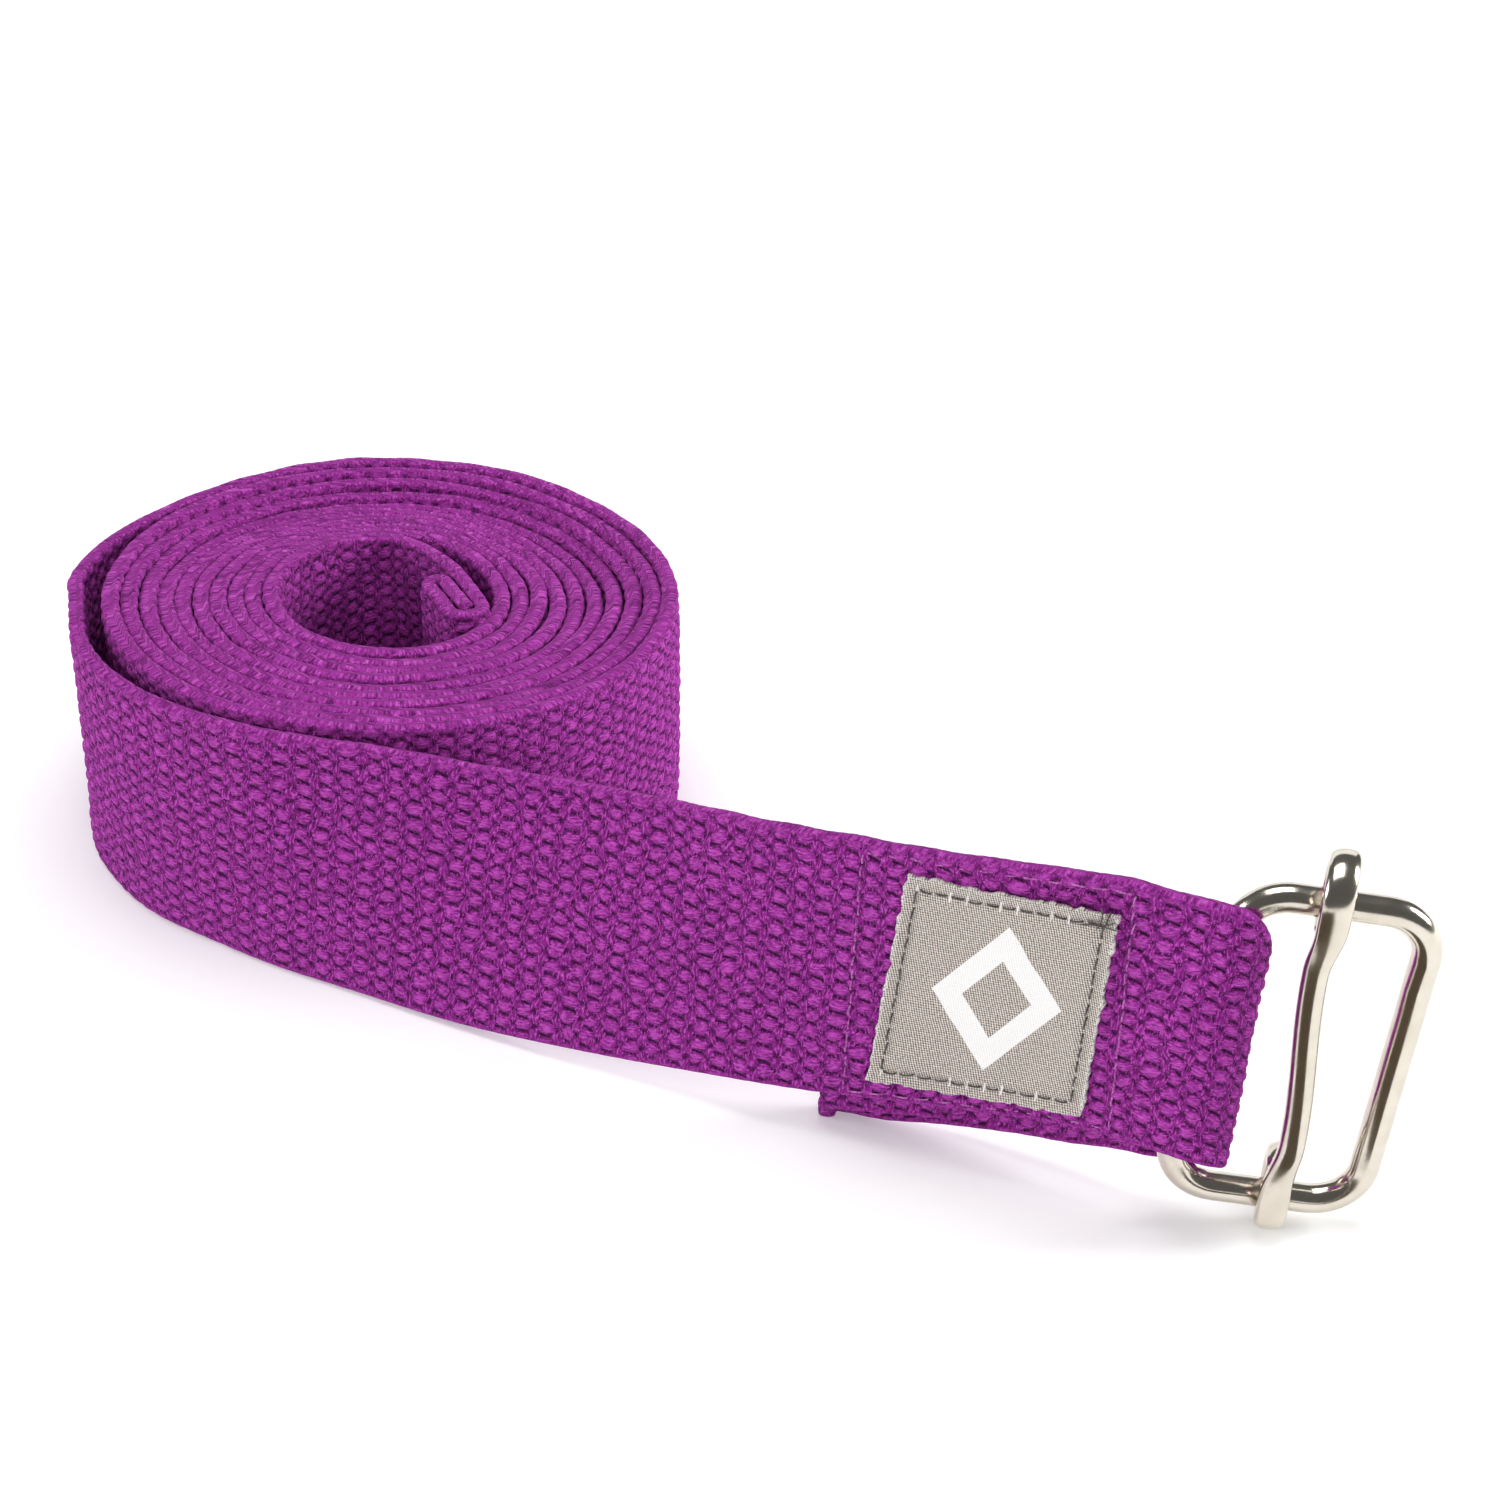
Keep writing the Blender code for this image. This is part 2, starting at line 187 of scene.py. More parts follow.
def hem_place(back, depth):
    inward = np.array([HEM_HEADING[1], -HEM_HEADING[0], 0])
    return HEM_FRONT - HEM_HEADING * back + inward * depth


def half_turn(radius, depth, steps):
    angles = [math.pi * step / steps for step in range(steps + 1)]
    return [(radius * math.sin(a), depth + radius * (1 - math.cos(a))) for a in angles]


def hem_route():
    small = (2 * THICK + 0.00035) / 2
    large = (LAYER + 2 * small) / 2
    straight = HEM_LENGTH - small
    route = [hem_place(amount * straight, LAYER) for amount in (0.0, 0.33, 0.67)]
    route += [hem_place(straight + reach, depth) for reach, depth in half_turn(small, LAYER, 8)]
    route += [hem_place(amount * straight, 2 * large) for amount in (0.67, 0.33)]
    route += [hem_place(-reach, depth) for reach, depth in half_turn(large, 0, 10)[::-1]]
    route += [hem_place(amount * straight, 0) for amount in (0.33, 0.67, 1.0)]
    return route + [np.array([x, y, 0.0]) for x, y in HEM_ROUTE]


class Run:
    """The front layer of the free run, read by how far back a place is from the tip of its fold."""

    def __init__(self):
        rows = np.array(RUN_ROUTE, float)
        steps = np.linalg.norm(np.diff(rows[:, :3], axis=0), axis=1)
        t = np.concatenate([[0], np.cumsum(steps)])
        fine = smooth_rows(t, rows, np.linspace(0, t[-1], 500))[::-1]
        place, lean = fine[:, :3], np.radians(fine[:, 3:])
        self.back = np.concatenate([[0], np.cumsum(np.linalg.norm(np.diff(place, axis=0), axis=1))])
        along = unit(-np.gradient(place, axis=0))
        side = unit(np.stack([-along[:, 1], along[:, 0], 0 * along[:, 0]], -1))
        rise = np.array([[0.0, 0.0, 1.0]])
        inward = side * np.cos(lean) - rise * np.sin(lean)
        up = side * np.sin(lean) + rise * np.cos(lean)
        # The turn that leaves the coil stands a little off the floor
        place = place + rise * 0.0003 * ease(1 - (self.back[-1] - self.back[:, None]) / 0.050)
        self.table = np.concatenate([place + COIL_CENTRE, along, inward, up], axis=1)

    def frame(self, back):
        back = np.asarray(back, float)
        found = np.stack([np.interp(back, self.back, column) for column in self.table.T], -1)
        place, along, inward, up = found[..., :3], found[..., 3:6], found[..., 6:9], found[..., 9:]
        beyond = np.minimum(back, 0)[..., None]
        return place - along * beyond, unit(along), unit(inward), unit(up)

    def at(self, back, height, depth):
        place, _, inward, up = self.frame(back)
        return place + up * np.asarray(height)[..., None] + inward * np.asarray(depth)[..., None]


run = Run()


def run_stations():
    """Lower and upper outer edges of the run, its loop, its back layer and its turned-under end."""
    small = (2 * THICK + 0.00035) / 2
    round_ = LOOP_THICK / 2
    flat = 2 * small + LAYER
    stops = [(back, 0.0) for back in np.linspace(run.back[-1] - 0.004, 0.0180, 46)]
    stops += [(back, 0.0) for back in (0.0150, 0.0120, 0.0095, 0.0070)]
    stops += [(round_ - reach, depth) for reach, depth in half_turn(round_, 0, 12)]
    stops += [(back, LOOP_THICK) for back in (0.0070, LOOP_ROUND)]
    stops += [(0.0120, LOOP_THICK + (flat - LOOP_THICK) * 0.55), (SEAM_FROM_FOLD, flat)]
    straight = FOLD_BACK - small
    layer = straight - SEAM_FROM_FOLD
    stops += [(SEAM_FROM_FOLD + layer * a, flat) for a in (0.17, 0.33, 0.5, 0.67, 0.83)]
    stops += [(straight + reach, depth) for reach, depth in half_turn(small, LAYER, 8)[::-1]]
    stops += [(straight - amount * TURN_UNDER, LAYER) for amount in (0.25, 0.5, 0.75, 1.0)]
    found = []
    for back, depth in stops:
        place, along, inward, up = run.frame(back)
        near = ease(1 - (back - round_) / (SEAM_FROM_FOLD - round_))
        # The front layer stands in front of the frame's corner, and the fold and back layer dip under it.
        # Known fault: the frame cuts into this loop, 0.45 mm deep at rest and 1.9 mm at -125 degrees
        under = ease(depth / LOOP_THICK * 1.15 - 0.10) if back < SEAM_FROM_FOLD else 1.0
        if depth == 0.0:
            under = 0.0
        press = (0.0007 + (FOLD_PRESS - 0.0007) * under) * ease(1 - (back - LOOP_ROUND) / 0.006)
        if back <= SEAM_FROM_FOLD:
            drop = (BACK_DROP_SEAM + (BACK_DROP_FOLD - BACK_DROP_SEAM) * near) * min(depth / LOOP_THICK, 1)
        else:
            share = (back - SEAM_FROM_FOLD) / (FOLD_BACK - SEAM_FROM_FOLD)
            drop = (BACK_DROP_SEAM + (BACK_DROP_END - BACK_DROP_SEAM) * share) * min(depth / 0.0044, 1)
        low = place + inward * depth - up * drop
        if low[2] < 0.0002:
            low = low + up * (0.0002 - low[2]) / up[2]
        high = low + up * (WIDTH - press) + along * FOLD_SLANT * near
        found.append(np.concatenate([low, high, [1000.0, back, depth]]))
    return found


def strap_stations():
    """Rows along the strap: lower edge, upper edge, turning angle, distance from the fold and depth."""
    rows = []
    hem = hem_route()
    rise = coil_rise(EYE_DEG)
    for index, place in enumerate(hem):
        base = place + COIL_CENTRE
        angle = EYE_DEG - (len(hem) - index)
        rows.append(np.concatenate([base + [0, 0, 0.0002], base + [0, 0, WIDTH + rise], [angle, 1, 0]]))
    for angle in range(EYE_DEG, LEAVES_COIL_DEG + 1, 6):
        base = coil_place(np.float64(angle)) + COIL_CENTRE
        rise = coil_rise(np.float64(angle))
        low = base + [0, 0, max(rise, 0.0002)]
        rows.append(np.concatenate([low, base + [0, 0, WIDTH + rise], [angle, 1, 0]]))
    return np.array(rows + run_stations())


# The webbing's skin


def face_rows(kind):
    """Heights of the rows up one face, as a distance from the lower edge and a share of the rest."""
    edge = [0.00004, 0.00016, 0.0004, 0.0008]
    if kind == "full":
        middle = list(np.linspace(0.0008, WIDTH - 0.0008, 126)[1:-1])
    else:
        middle = [0.006, 0.014, 0.022, 0.029] + list(np.linspace(WIDTH - 0.0050, WIDTH - 0.0008, 15)[:-1])
    rows = np.array(edge + middle + [WIDTH - value for value in edge[::-1]])
    return rows / WIDTH


def weave(s, v):
    """Height of the cloth's face, about -1 to 1, from its yarn floats and the furrows between their rows."""
    s, v = s / PICK, v / PAIR
    chance = np.sin(np.floor(s + 0.5) * 12.9898 + np.floor(v + 0.5) * 78.233) * 43758.5453
    chance = chance - np.floor(chance)
    # Large oval floats in rows, and between four of them the small bump of the yarn that crosses under them
    large = (1 - np.hypot((s - np.round(s)) / 0.38, (v - np.round(v)) / 0.43) ** 3) * (0.84 + 0.32 * chance)
    s, v = s - 0.5, v - 0.5
    small = 0.85 * (1 - np.hypot((s - np.round(s)) / 0.29, (v - np.round(v)) / 0.38) ** 3)
    return np.maximum(np.maximum(large, small), 0) * 1.6 - 0.9


def skin(t, columns, kinds, rows):
    """Points, faces and marks of a closed ribbon over columns, each with its own rows on both faces."""
    read = smooth_rows(t, rows, columns)
    ahead, behind = smooth_rows(t, rows, columns + 1e-4), smooth_rows(t, rows, columns - 1e-4)
    points, marks, loops, places = [], [], [], []
    table = {kind: face_rows(kind) for kind in ("full", "band")}
    for index, (outer, inner) in enumerate(kinds):
        low, high = read[index, :3], read[index, 3:6]
        up = high - low
        width = np.linalg.norm(up)
        up = up / width
        along_low = unit(ahead[index, :3] - behind[index, :3])
        along_high = unit(ahead[index, 3:6] - behind[index, 3:6])
        share = np.concatenate([[0.0], table[outer], [1.0], table[inner][::-1]])
        count = len(table[outer]) + 1
        flip = np.arange(len(share)) > count
        along = unit(along_low + (along_high - along_low) * share[:, None])
        inward = unit(np.cross(up, along))
        v = share * width
        s = np.full(len(share), columns[index])
        near = np.minimum(v, width - v)
        rounded = 1 - np.clip(1 - ((0.0008 - np.minimum(near, 0.0008)) / 0.0008) ** 3, 0, 1) ** (1 / 3)
        calm = ease(near / 0.0012)
        # The weave wanders a little, so both cloth coordinates do
        ws = s + 0.00034 * waves(s, v, 31, 0.016, 0.005) + (PICK / 2 + 0.0004) * flip
        wv = v + 0.00020 * waves(s, v, 32, 0.016, 0.004)
        height = weave(ws, wv) * WEAVE_DEPTH * (0.12 + 0.88 * calm)
        sag = 0.00016 * waves(s, v, 3, 0.060, 0.018)
        turned = (EYE_DEG - 1, EYE_DEG + 30, 60, 95)
        thick = np.interp(read[index, 6], turned, (THICK, WOUND_THICK, WOUND_THICK, THICK))
        half = thick / 2 * (1 - rounded) + height
        depth = thick / 2 + np.where(flip, half, -half)
        depth[0] = depth[count] = thick / 2
        ripple = 0.00014 * waves(s, 0 * s, 11, 0.030, 0.008)
        ripple = ripple + 0.00005 * np.abs(np.sin(2 * math.pi * s / PICK))
        lift = np.where(v > width / 2, ripple, 0) * ease((v - width + 0.006) / 0.006)
        made = low + up * (v + lift)[:, None] + inward * (depth + sag)[:, None]
        loops.append(np.arange(len(made)) + (loops[-1][-1] + 1 if loops else 0))
        places.append(np.where(flip, 2 - share, share))
        points.append(made)
        marks.append(np.stack([ws, wv, 1 - calm, flip * 1.0], -1))
    faces = []
    for left, right, at_left, at_right in zip(loops, loops[1:], places, places[1:]):
        if len(left) == len(right):
            shift = np.roll(left, -1), np.roll(right, -1)
            faces += np.stack([left, right, shift[1], shift[0]], -1).tolist()
            continue
        i = j = 0
        while i < len(left) or j < len(right):
            next_left = at_left[i + 1] if i + 1 < len(left) else 2.0
            next_right = at_right[j + 1] if j + 1 < len(right) else 2.0
            a, b = left[i % len(left)], right[j % len(right)]
            if j >= len(right) or (i < len(left) and next_left <= next_right):
                faces.append([a, b, left[(i + 1) % len(left)]])
                i += 1
            else:
                faces.append([a, b, right[(j + 1) % len(right)]])
                j += 1
    faces.append(loops[0].tolist())
    faces.append(loops[-1][::-1].tolist())
    return np.concatenate(points), faces, np.concatenate(marks)


def add_mesh(name, points, faces, surface, marks=None, smooth=True):
    mesh = bpy.data.meshes.new(name)
    mesh.from_pydata(np.asarray(points).tolist(), [], faces)
    if smooth:
        mesh.shade_smooth()
    if marks is not None:
        corner = np.empty(len(mesh.loops), np.int32)
        mesh.loops.foreach_get("vertex_index", corner)
        flat = mesh.uv_layers.new(name="cloth")
        flat.data.foreach_set("uv", (marks[corner, :2] * 10).astype(np.float32).ravel())
        edge = mesh.attributes.new("edge", "FLOAT", "POINT")
        edge.data.foreach_set("value", marks[:, 2].astype(np.float32))
    mesh.materials.append(surface)
    obj = bpy.data.objects.new(name, mesh)
    bpy.context.scene.collection.objects.link(obj)
    return obj


# Materials


class Graph:
    """A material's nodes, made one by one."""

    def __init__(self, name):
        self.material = bpy.data.materials.new(name)
        self.material.use_nodes = True
        self.nodes = self.material.node_tree.nodes
        self.shader = self.nodes["Principled BSDF"]

    def link(self, source, target):
        self.material.node_tree.links.new(source, target)

    def fill(self, socket, value):
        if isinstance(value, bpy.types.NodeSocket):
            self.link(value, socket)
        elif isinstance(value, tuple) and len(value) == 3 and socket.type == "RGBA":
            socket.default_value = (*value, 1)
        else:
            socket.default_value = value

    def math(self, operation, *values):
        node = self.nodes.new("ShaderNodeMath")
        node.operation = operation
        for socket, value in zip(node.inputs, values):
            self.fill(socket, value)
        return node.outputs[0]

    def remap(self, value, low, high, to_low=0.0, to_high=1.0):
        node = self.nodes.new("ShaderNodeMapRange")
        node.interpolation_type = "SMOOTHSTEP"
        for socket, given in zip(node.inputs, (value, low, high, to_low, to_high)):
            self.fill(socket, given)
        return node.outputs[0]

    def mix(self, amount, low, high, blend="MIX"):
        node = self.nodes.new("ShaderNodeMix")
        node.data_type = "RGBA"
        node.blend_type = blend
        self.fill(node.inputs[0], amount)
        self.fill(node.inputs[6], low)
        self.fill(node.inputs[7], high)
        return node.outputs[2]

    def noise(self, vector, scale, detail=2.0, rough=0.5):
        node = self.nodes.new("ShaderNodeTexNoise")
        self.link(vector, node.inputs["Vector"])
        node.inputs["Scale"].default_value = scale
        node.inputs["Detail"].default_value = detail
        node.inputs["Roughness"].default_value = rough
        return node.outputs[0]

    def chance(self, x, y):
        join = self.nodes.new("ShaderNodeCombineXYZ")
        self.fill(join.inputs[0], x)
        self.fill(join.inputs[1], y)
        node = self.nodes.new("ShaderNodeTexWhiteNoise")
        node.noise_dimensions = "2D"
        self.link(join.outputs[0], node.inputs["Vector"])
        return node.outputs[0]

    def stretched(self, x, y, by_x, by_y):
        join = self.nodes.new("ShaderNodeCombineXYZ")
        self.link(self.math("MULTIPLY", x, by_x), join.inputs[0])
        self.link(self.math("MULTIPLY", y, by_y), join.inputs[1])
        return join.outputs[0]

    def oval(self, x, y, half_x, half_y):
        """Distance from the nearest whole-numbered place, 1 on an oval round it."""
        x = self.math("DIVIDE", self.math("SUBTRACT", x, self.math("ROUND", x)), half_x)
        y = self.math("DIVIDE", self.math("SUBTRACT", y, self.math("ROUND", y)), half_y)
        return self.math("SQRT", self.math("ADD", self.math("MULTIPLY", x, x), self.math("MULTIPLY", y, y)))

    def flat_place(self):
        """The two cloth coordinates, in millimetres."""
        node = self.nodes.new("ShaderNodeUVMap")
        node.uv_map = "cloth"
        split = self.nodes.new("ShaderNodeSeparateXYZ")
        self.link(node.outputs[0], split.inputs[0])
        return [self.math("MULTIPLY", split.outputs[k], 100.0) for k in (0, 1)]

    def bump(self, height, strength, distance):
        node = self.nodes.new("ShaderNodeBump")
        node.inputs["Strength"].default_value = strength
        node.inputs["Distance"].default_value = distance
        self.link(height, node.inputs["Height"])
        self.link(node.outputs[0], self.shader.inputs["Normal"])

    def set(self, **values):
        for name, value in values.items():
            self.fill(self.shader.inputs[name.replace("_", " ")], value)
        return self.material


def webbing_material(name):
    g = Graph(name)
    s, v = g.flat_place()
    along = g.math("DIVIDE", s, PICK * 1000)
    across = g.math("DIVIDE", v, PAIR * 1000)
    a = g.math("COSINE", g.math("MULTIPLY", along, 2 * math.pi))
    b = g.math("COSINE", g.math("MULTIPLY", across, 2 * math.pi))
    p, q = g.math("FLOOR", g.math("ADD", along, 0.5)), g.math("FLOOR", g.math("ADD", across, 0.5))
    luck = g.chance(p, q)
    lumps = g.noise(g.stretched(s, v, 0.9, 1.2), 1.5, 4.0, 0.7)
    uneven = g.math("MULTIPLY", g.math("SUBTRACT", lumps, 0.5), 1.15)
    from_large = g.math("ADD", g.oval(along, across, 0.38, 0.43), uneven)
    from_small = g.oval(g.math("ADD", along, 0.5), g.math("ADD", across, 0.5), 0.30, 0.39)
    from_small = g.math("ADD", from_small, uneven)
    # Painted shadow: dark dashes under the floats, each at a slight slant
    slant = g.math("MULTIPLY", g.math("SINE", g.math("MULTIPLY", along, 2 * math.pi)), 0.07)
    off = g.math("ADD", g.math("SUBTRACT", across, 0.5), slant)
    off = g.math("ABSOLUTE", g.math("SUBTRACT", off, g.math("ROUND", off)))
    gap_noise = g.noise(g.stretched(s, v, 0.30, 0.55), 1.0, 3.0, 0.6)
    open_ = g.remap(gap_noise, 0.36, 0.58)
    dash = g.math("MULTIPLY", g.remap(off, 0.13, 0.03), g.remap(a, -0.55, -0.05))
    furrow_shadow = g.math("MULTIPLY", dash, open_)
    # Painted shade in the notches between neighbouring floats of a row
    half_on = g.math("SUBTRACT", along, 0.5)
    beside = g.math("ABSOLUTE", g.math("SUBTRACT", half_on, g.math("ROUND", half_on)))
    notch_shade = g.math("MULTIPLY", g.math("MULTIPLY", g.remap(beside, 0.10, 0.0), g.remap(b, -0.2, 0.5)), open_)
    lying = g.noise(g.stretched(s, v, 1.0, 3.0), 1.15, 3.0, 0.7)
    standing = g.noise(g.stretched(s, v, 3.0, 1.0), 1.15, 3.0, 0.7)
    soft = g.noise(g.stretched(s, v, 0.09, 0.16), 1.0, 3.0, 0.6)
    floating = g.remap(from_large, 1.05, 0.85)
    crossing = g.math("MULTIPLY", standing, g.math("SUBTRACT", 1.0, floating))
    fibre = g.math("ADD", g.math("MULTIPLY", lying, floating), crossing)
    dark, base, bright = linear(*GAP_SHADE_AND_DARK_YARN_COLOUR), linear(*BASE_COLOUR), linear(*CREST_HIGHLIGHT_AND_LIGHT_YARN_COLOUR)
    # Painted shade: where no float covers the cloth, the gaps take the dark colour
    cover = g.math("MAXIMUM", g.remap(from_large, 1.08, 0.78), g.remap(from_small, 1.10, 0.70, 0.0, 0.85))
    colour = g.mix(cover, dark, base)
    # Painted highlight on the crests of the large floats, of a random strength for each float
    fray_and_crest_highlight = g.math("ADD", g.math("MULTIPLY", luck, 0.35), 0.25)
    top = g.math("MULTIPLY", g.remap(from_large, 0.95, 0.25), fray_and_crest_highlight)
    colour = g.mix(top, colour, bright)
    colour = g.mix(g.remap(fibre, 0.50, 0.64, 0.0, 0.90), colour, bright)
    colour = g.mix(g.remap(fibre, 0.50, 0.35, 0.0, 0.75), colour, dark)
    # Painted shade in the notches between the floats
    colour = g.mix(g.math("MULTIPLY", notch_shade, 0.5), colour, dark)
    # Painted shadow in the furrows under the floats
    colour = g.mix(g.math("MULTIPLY", furrow_shadow, 0.9), colour, linear(*FURROW_SHADOW_COLOUR))
    colour = g.mix(g.remap(soft, 0.3, 0.7, 0.0, 0.14), colour, dark)
    edge = g.nodes.new("ShaderNodeAttribute")
    edge.attribute_name = "edge"
    # The edges show the weft turning back, with no rows: light strands, dark dots
    rim = edge.outputs["Fac"]
    strand = g.noise(g.stretched(s, v, 1.5, 1.7), 1.3, 3.0, 0.75)
    turned = g.mix(g.remap(strand, 0.36, 0.52), dark, base)
    turned = g.mix(g.remap(strand, 0.50, 0.66, 0.0, 0.8), turned, linear(*RIM_COLOUR))
    colour = g.mix(g.math("MULTIPLY", rim, 0.85), colour, turned)
    relief = g.math("ADD", g.math("MULTIPLY", fibre, 1.3), g.math("MULTIPLY", lumps, 0.8))
    sunk = g.math("ADD", g.math("MULTIPLY", notch_shade, 0.5), g.math("MULTIPLY", furrow_shadow, 0.9))
    sunk = g.math("MULTIPLY", sunk, g.math("SUBTRACT", 1.0, rim))
    at_rim = g.math("MULTIPLY", g.math("MULTIPLY", strand, rim), 1.5)
    g.bump(g.math("SUBTRACT", g.math("ADD", relief, at_rim), sunk), 0.9, 0.00034)
    return g.set(
        Base_Color=colour,
        Roughness=0.95,
        Specular_IOR_Level=0.10,
        Sheen_Weight=0.22,
        Sheen_Roughness=0.5,
        Sheen_Tint=linear(225, 130, 220),
    )


def thread_material(name, colour, pale):
    g = Graph(name)
    where = g.nodes.new("ShaderNodeTexCoord").outputs["Object"]
    fine = g.noise(where, 2600.0, 3.0, 0.6)
    g.bump(fine, 0.4, 0.00008)
    return g.set(
        Base_Color=g.mix(g.remap(fine, 0.35, 0.65), colour, pale),
        Roughness=0.7,
        Specular_IOR_Level=0.3,
        Sheen_Weight=0.25,
    )


def nickel_material(name):
    g = Graph(name)
    where = g.nodes.new("ShaderNodeTexCoord").outputs["Object"]
    cloudy = g.noise(where, 260.0, 4.0, 0.6)
    fine = g.noise(where, 1400.0, 3.0, 0.6)
    rough = g.remap(cloudy, 0.3, 0.7, 0.13, 0.22)
    g.bump(g.math("ADD", cloudy, g.math("MULTIPLY", fine, 0.3)), 0.05, 0.0004)
    return g.set(
        Base_Color=g.mix(g.remap(cloudy, 0.3, 0.7), (0.70, 0.65, 0.57), (0.64, 0.59, 0.50)),
        Metallic=1.0,
        Roughness=rough,
    )


def label_material(name):
    """Grey woven tape with a plain white ring in the shape of a rhombus."""
    g = Graph(name)
    x, y = g.flat_place()
    leaning = g.math("ADD", x, g.math("MULTIPLY", y, 0.35))
    warp = g.math("SINE", g.math("MULTIPLY", leaning, 2 * math.pi / 0.36))
    weft = g.math("SINE", g.math("MULTIPLY", y, 2 * math.pi / 0.34))
    grain = g.math("ADD", g.math("MULTIPLY", warp, 0.5), g.math("MULTIPLY", weft, 0.35))
    speck = g.noise(g.stretched(x, y, 1.0, 1.0), 3.0, 3.0, 0.7)
    tone = g.remap(g.math("ADD", grain, g.math("MULTIPLY", g.math("SUBTRACT", speck, 0.5), 2.2)), -0.8, 0.9)
    grey = g.mix(tone, linear(84, 76, 69), linear(236, 226, 218))
    across = g.math("ABSOLUTE", g.math("SUBTRACT", x, LABEL_SIZE[0] * 520))
    up = g.math("ABSOLUTE", g.math("SUBTRACT", y, LABEL_SIZE[1] * 500))
    ring = g.math("ADD", g.math("DIVIDE", across, 9.2), g.math("DIVIDE", up, 11.2))
    inside = g.math("MULTIPLY", g.remap(ring, 1.0, 0.985), g.remap(ring, 0.52, 0.535))
    white = g.mix(tone, linear(236, 233, 232), linear(252, 251, 251))
    colour = g.mix(inside, grey, white)
    border = g.math(
        "MINIMUM",
        g.math("MINIMUM", x, g.math("SUBTRACT", LABEL_SIZE[0] * 1000, x)),
        g.math("MINIMUM", y, g.math("SUBTRACT", LABEL_SIZE[1] * 1000, y)),
    )
    sides = g.math("MINIMUM", x, g.math("SUBTRACT", LABEL_SIZE[0] * 1000, x))
    fray = g.math("MAXIMUM", g.remap(sides, 0.60, 0.15), g.math("MULTIPLY", g.remap(border, 0.4, 0.1), 0.35))
    fray_and_crest_highlight = g.math("MULTIPLY", fray, g.remap(speck, 0.4, 0.6))
    colour = g.mix(fray_and_crest_highlight, colour, linear(226, 222, 220))
    # The pale bobbin thread shows in the needle holes of the upper and lower seams
    hole = g.math("DIVIDE", g.math("SUBTRACT", x, 1.8), 2.4)
    hole = g.math("ABSOLUTE", g.math("SUBTRACT", hole, g.math("ROUND", hole)))
    seam = g.math("ABSOLUTE", g.math("SUBTRACT", g.math("ABSOLUTE", g.math("SUBTRACT", y, 15.6)), 13.8))
    tick = g.math("MULTIPLY", g.remap(hole, 0.075, 0.035), g.remap(seam, 0.9, 0.6))
    tick = g.math("MULTIPLY", tick, g.remap(g.noise(g.stretched(x, y, 0.5, 0.02), 1.0), 0.44, 0.54))
    colour = g.mix(tick, colour, linear(240, 236, 234))
    g.bump(g.math("ADD", grain, speck), 0.35, 0.00010)
    return g.set(Base_Color=colour, Roughness=0.75, Specular_IOR_Level=0.25, Sheen_Weight=0.2)


# Tubes: wires, stitches and loose ends


def tube(points, radius, sides, closed=False, tip=1.0):
    """A round skin along points; with open ends the last rings shrink by tip."""
    points = np.asarray(points, float)
    if closed:
        way = unit(np.roll(points, -1, 0) - np.roll(points, 1, 0))
    else:
        way = unit(np.gradient(points, axis=0))
    side = np.cross(way[0], [0.3, 0.2, 1.0])
    side = side / np.linalg.norm(side)
    rings = []
    for index, place in enumerate(points):
        side = unit(side - way[index] * (side @ way[index]))
        other = np.cross(way[index], side)
        size = radius * (tip if not closed and index in (0, len(points) - 1) else 1.0)
        angles = 2 * math.pi * np.arange(sides) / sides
        rings.append(place + size * (np.cos(angles)[:, None] * side + np.sin(angles)[:, None] * other))
    return rings


def stitched(rings, closed=False):
    """Faces over rings of points, with a cap at each open end."""
    sides = len(rings[0])
    points = np.concatenate(rings)
    faces = []
    turns = len(rings) if closed else len(rings) - 1
    for low in range(turns):
        high = (low + 1) % len(rings)
        for side in range(sides):
            after = (side + 1) % sides
            faces.append([low * sides + side, low * sides + after, high * sides + after, high * sides + side])
    if not closed:
        faces.append(list(range(sides))[::-1])
        faces.append([(len(rings) - 1) * sides + side for side in range(sides)])
    return points, faces


def joined(skins):
    points, faces, base = [], [], 0
    for made, over in skins:
        points.append(made)
        faces += [[corner + base for corner in face] for face in over]
        base += len(made)
    return np.concatenate(points), faces


def stitch(start, end, out, radius, bulge=0.00016, sink=0.0004):
    """One stitch: it comes out of the cloth, lies on it and goes back in."""
    shape = ((0.0, -1.0), (0.08, 0.1), (0.25, 0.8), (0.5, 1.0), (0.75, 0.8), (0.92, 0.1), (1.0, -1.0))
    points = []
    for share, height in shape:
        off = bulge * height if height > 0 else sink * height
        points.append(start + (end - start) * share + out * off)
    return stitched(tube(points, radius, 6))


# Webbing

rows = strap_stations()
middle = (rows[:, :3] + rows[:, 3:6]) / 2
t = np.concatenate([[0], np.cumsum(np.linalg.norm(np.diff(middle, axis=0), axis=1))])


def along_at(angle):
    return float(np.interp(angle, rows[: len(rows) - 60, 6], t[: len(rows) - 60]))


SPLIT_DEG = 100
split_at = along_at(SPLIT_DEG)
fine, coarse = PICK / 6, PICK / 4


def zone(start, end, step, outer, inner):
    count = max(2, int(round((end - start) / step)))
    return list(np.linspace(start, end, count, endpoint=False)), [(outer, inner)] * count


def piece(zones, last):
    columns, kinds = [], []
    for each in zones:
        made = zone(*each)
        columns += made[0]
        kinds += made[1]
    columns.append(last)
    kinds.append(kinds[-1])
    return skin(t, np.array(columns), kinds, rows)


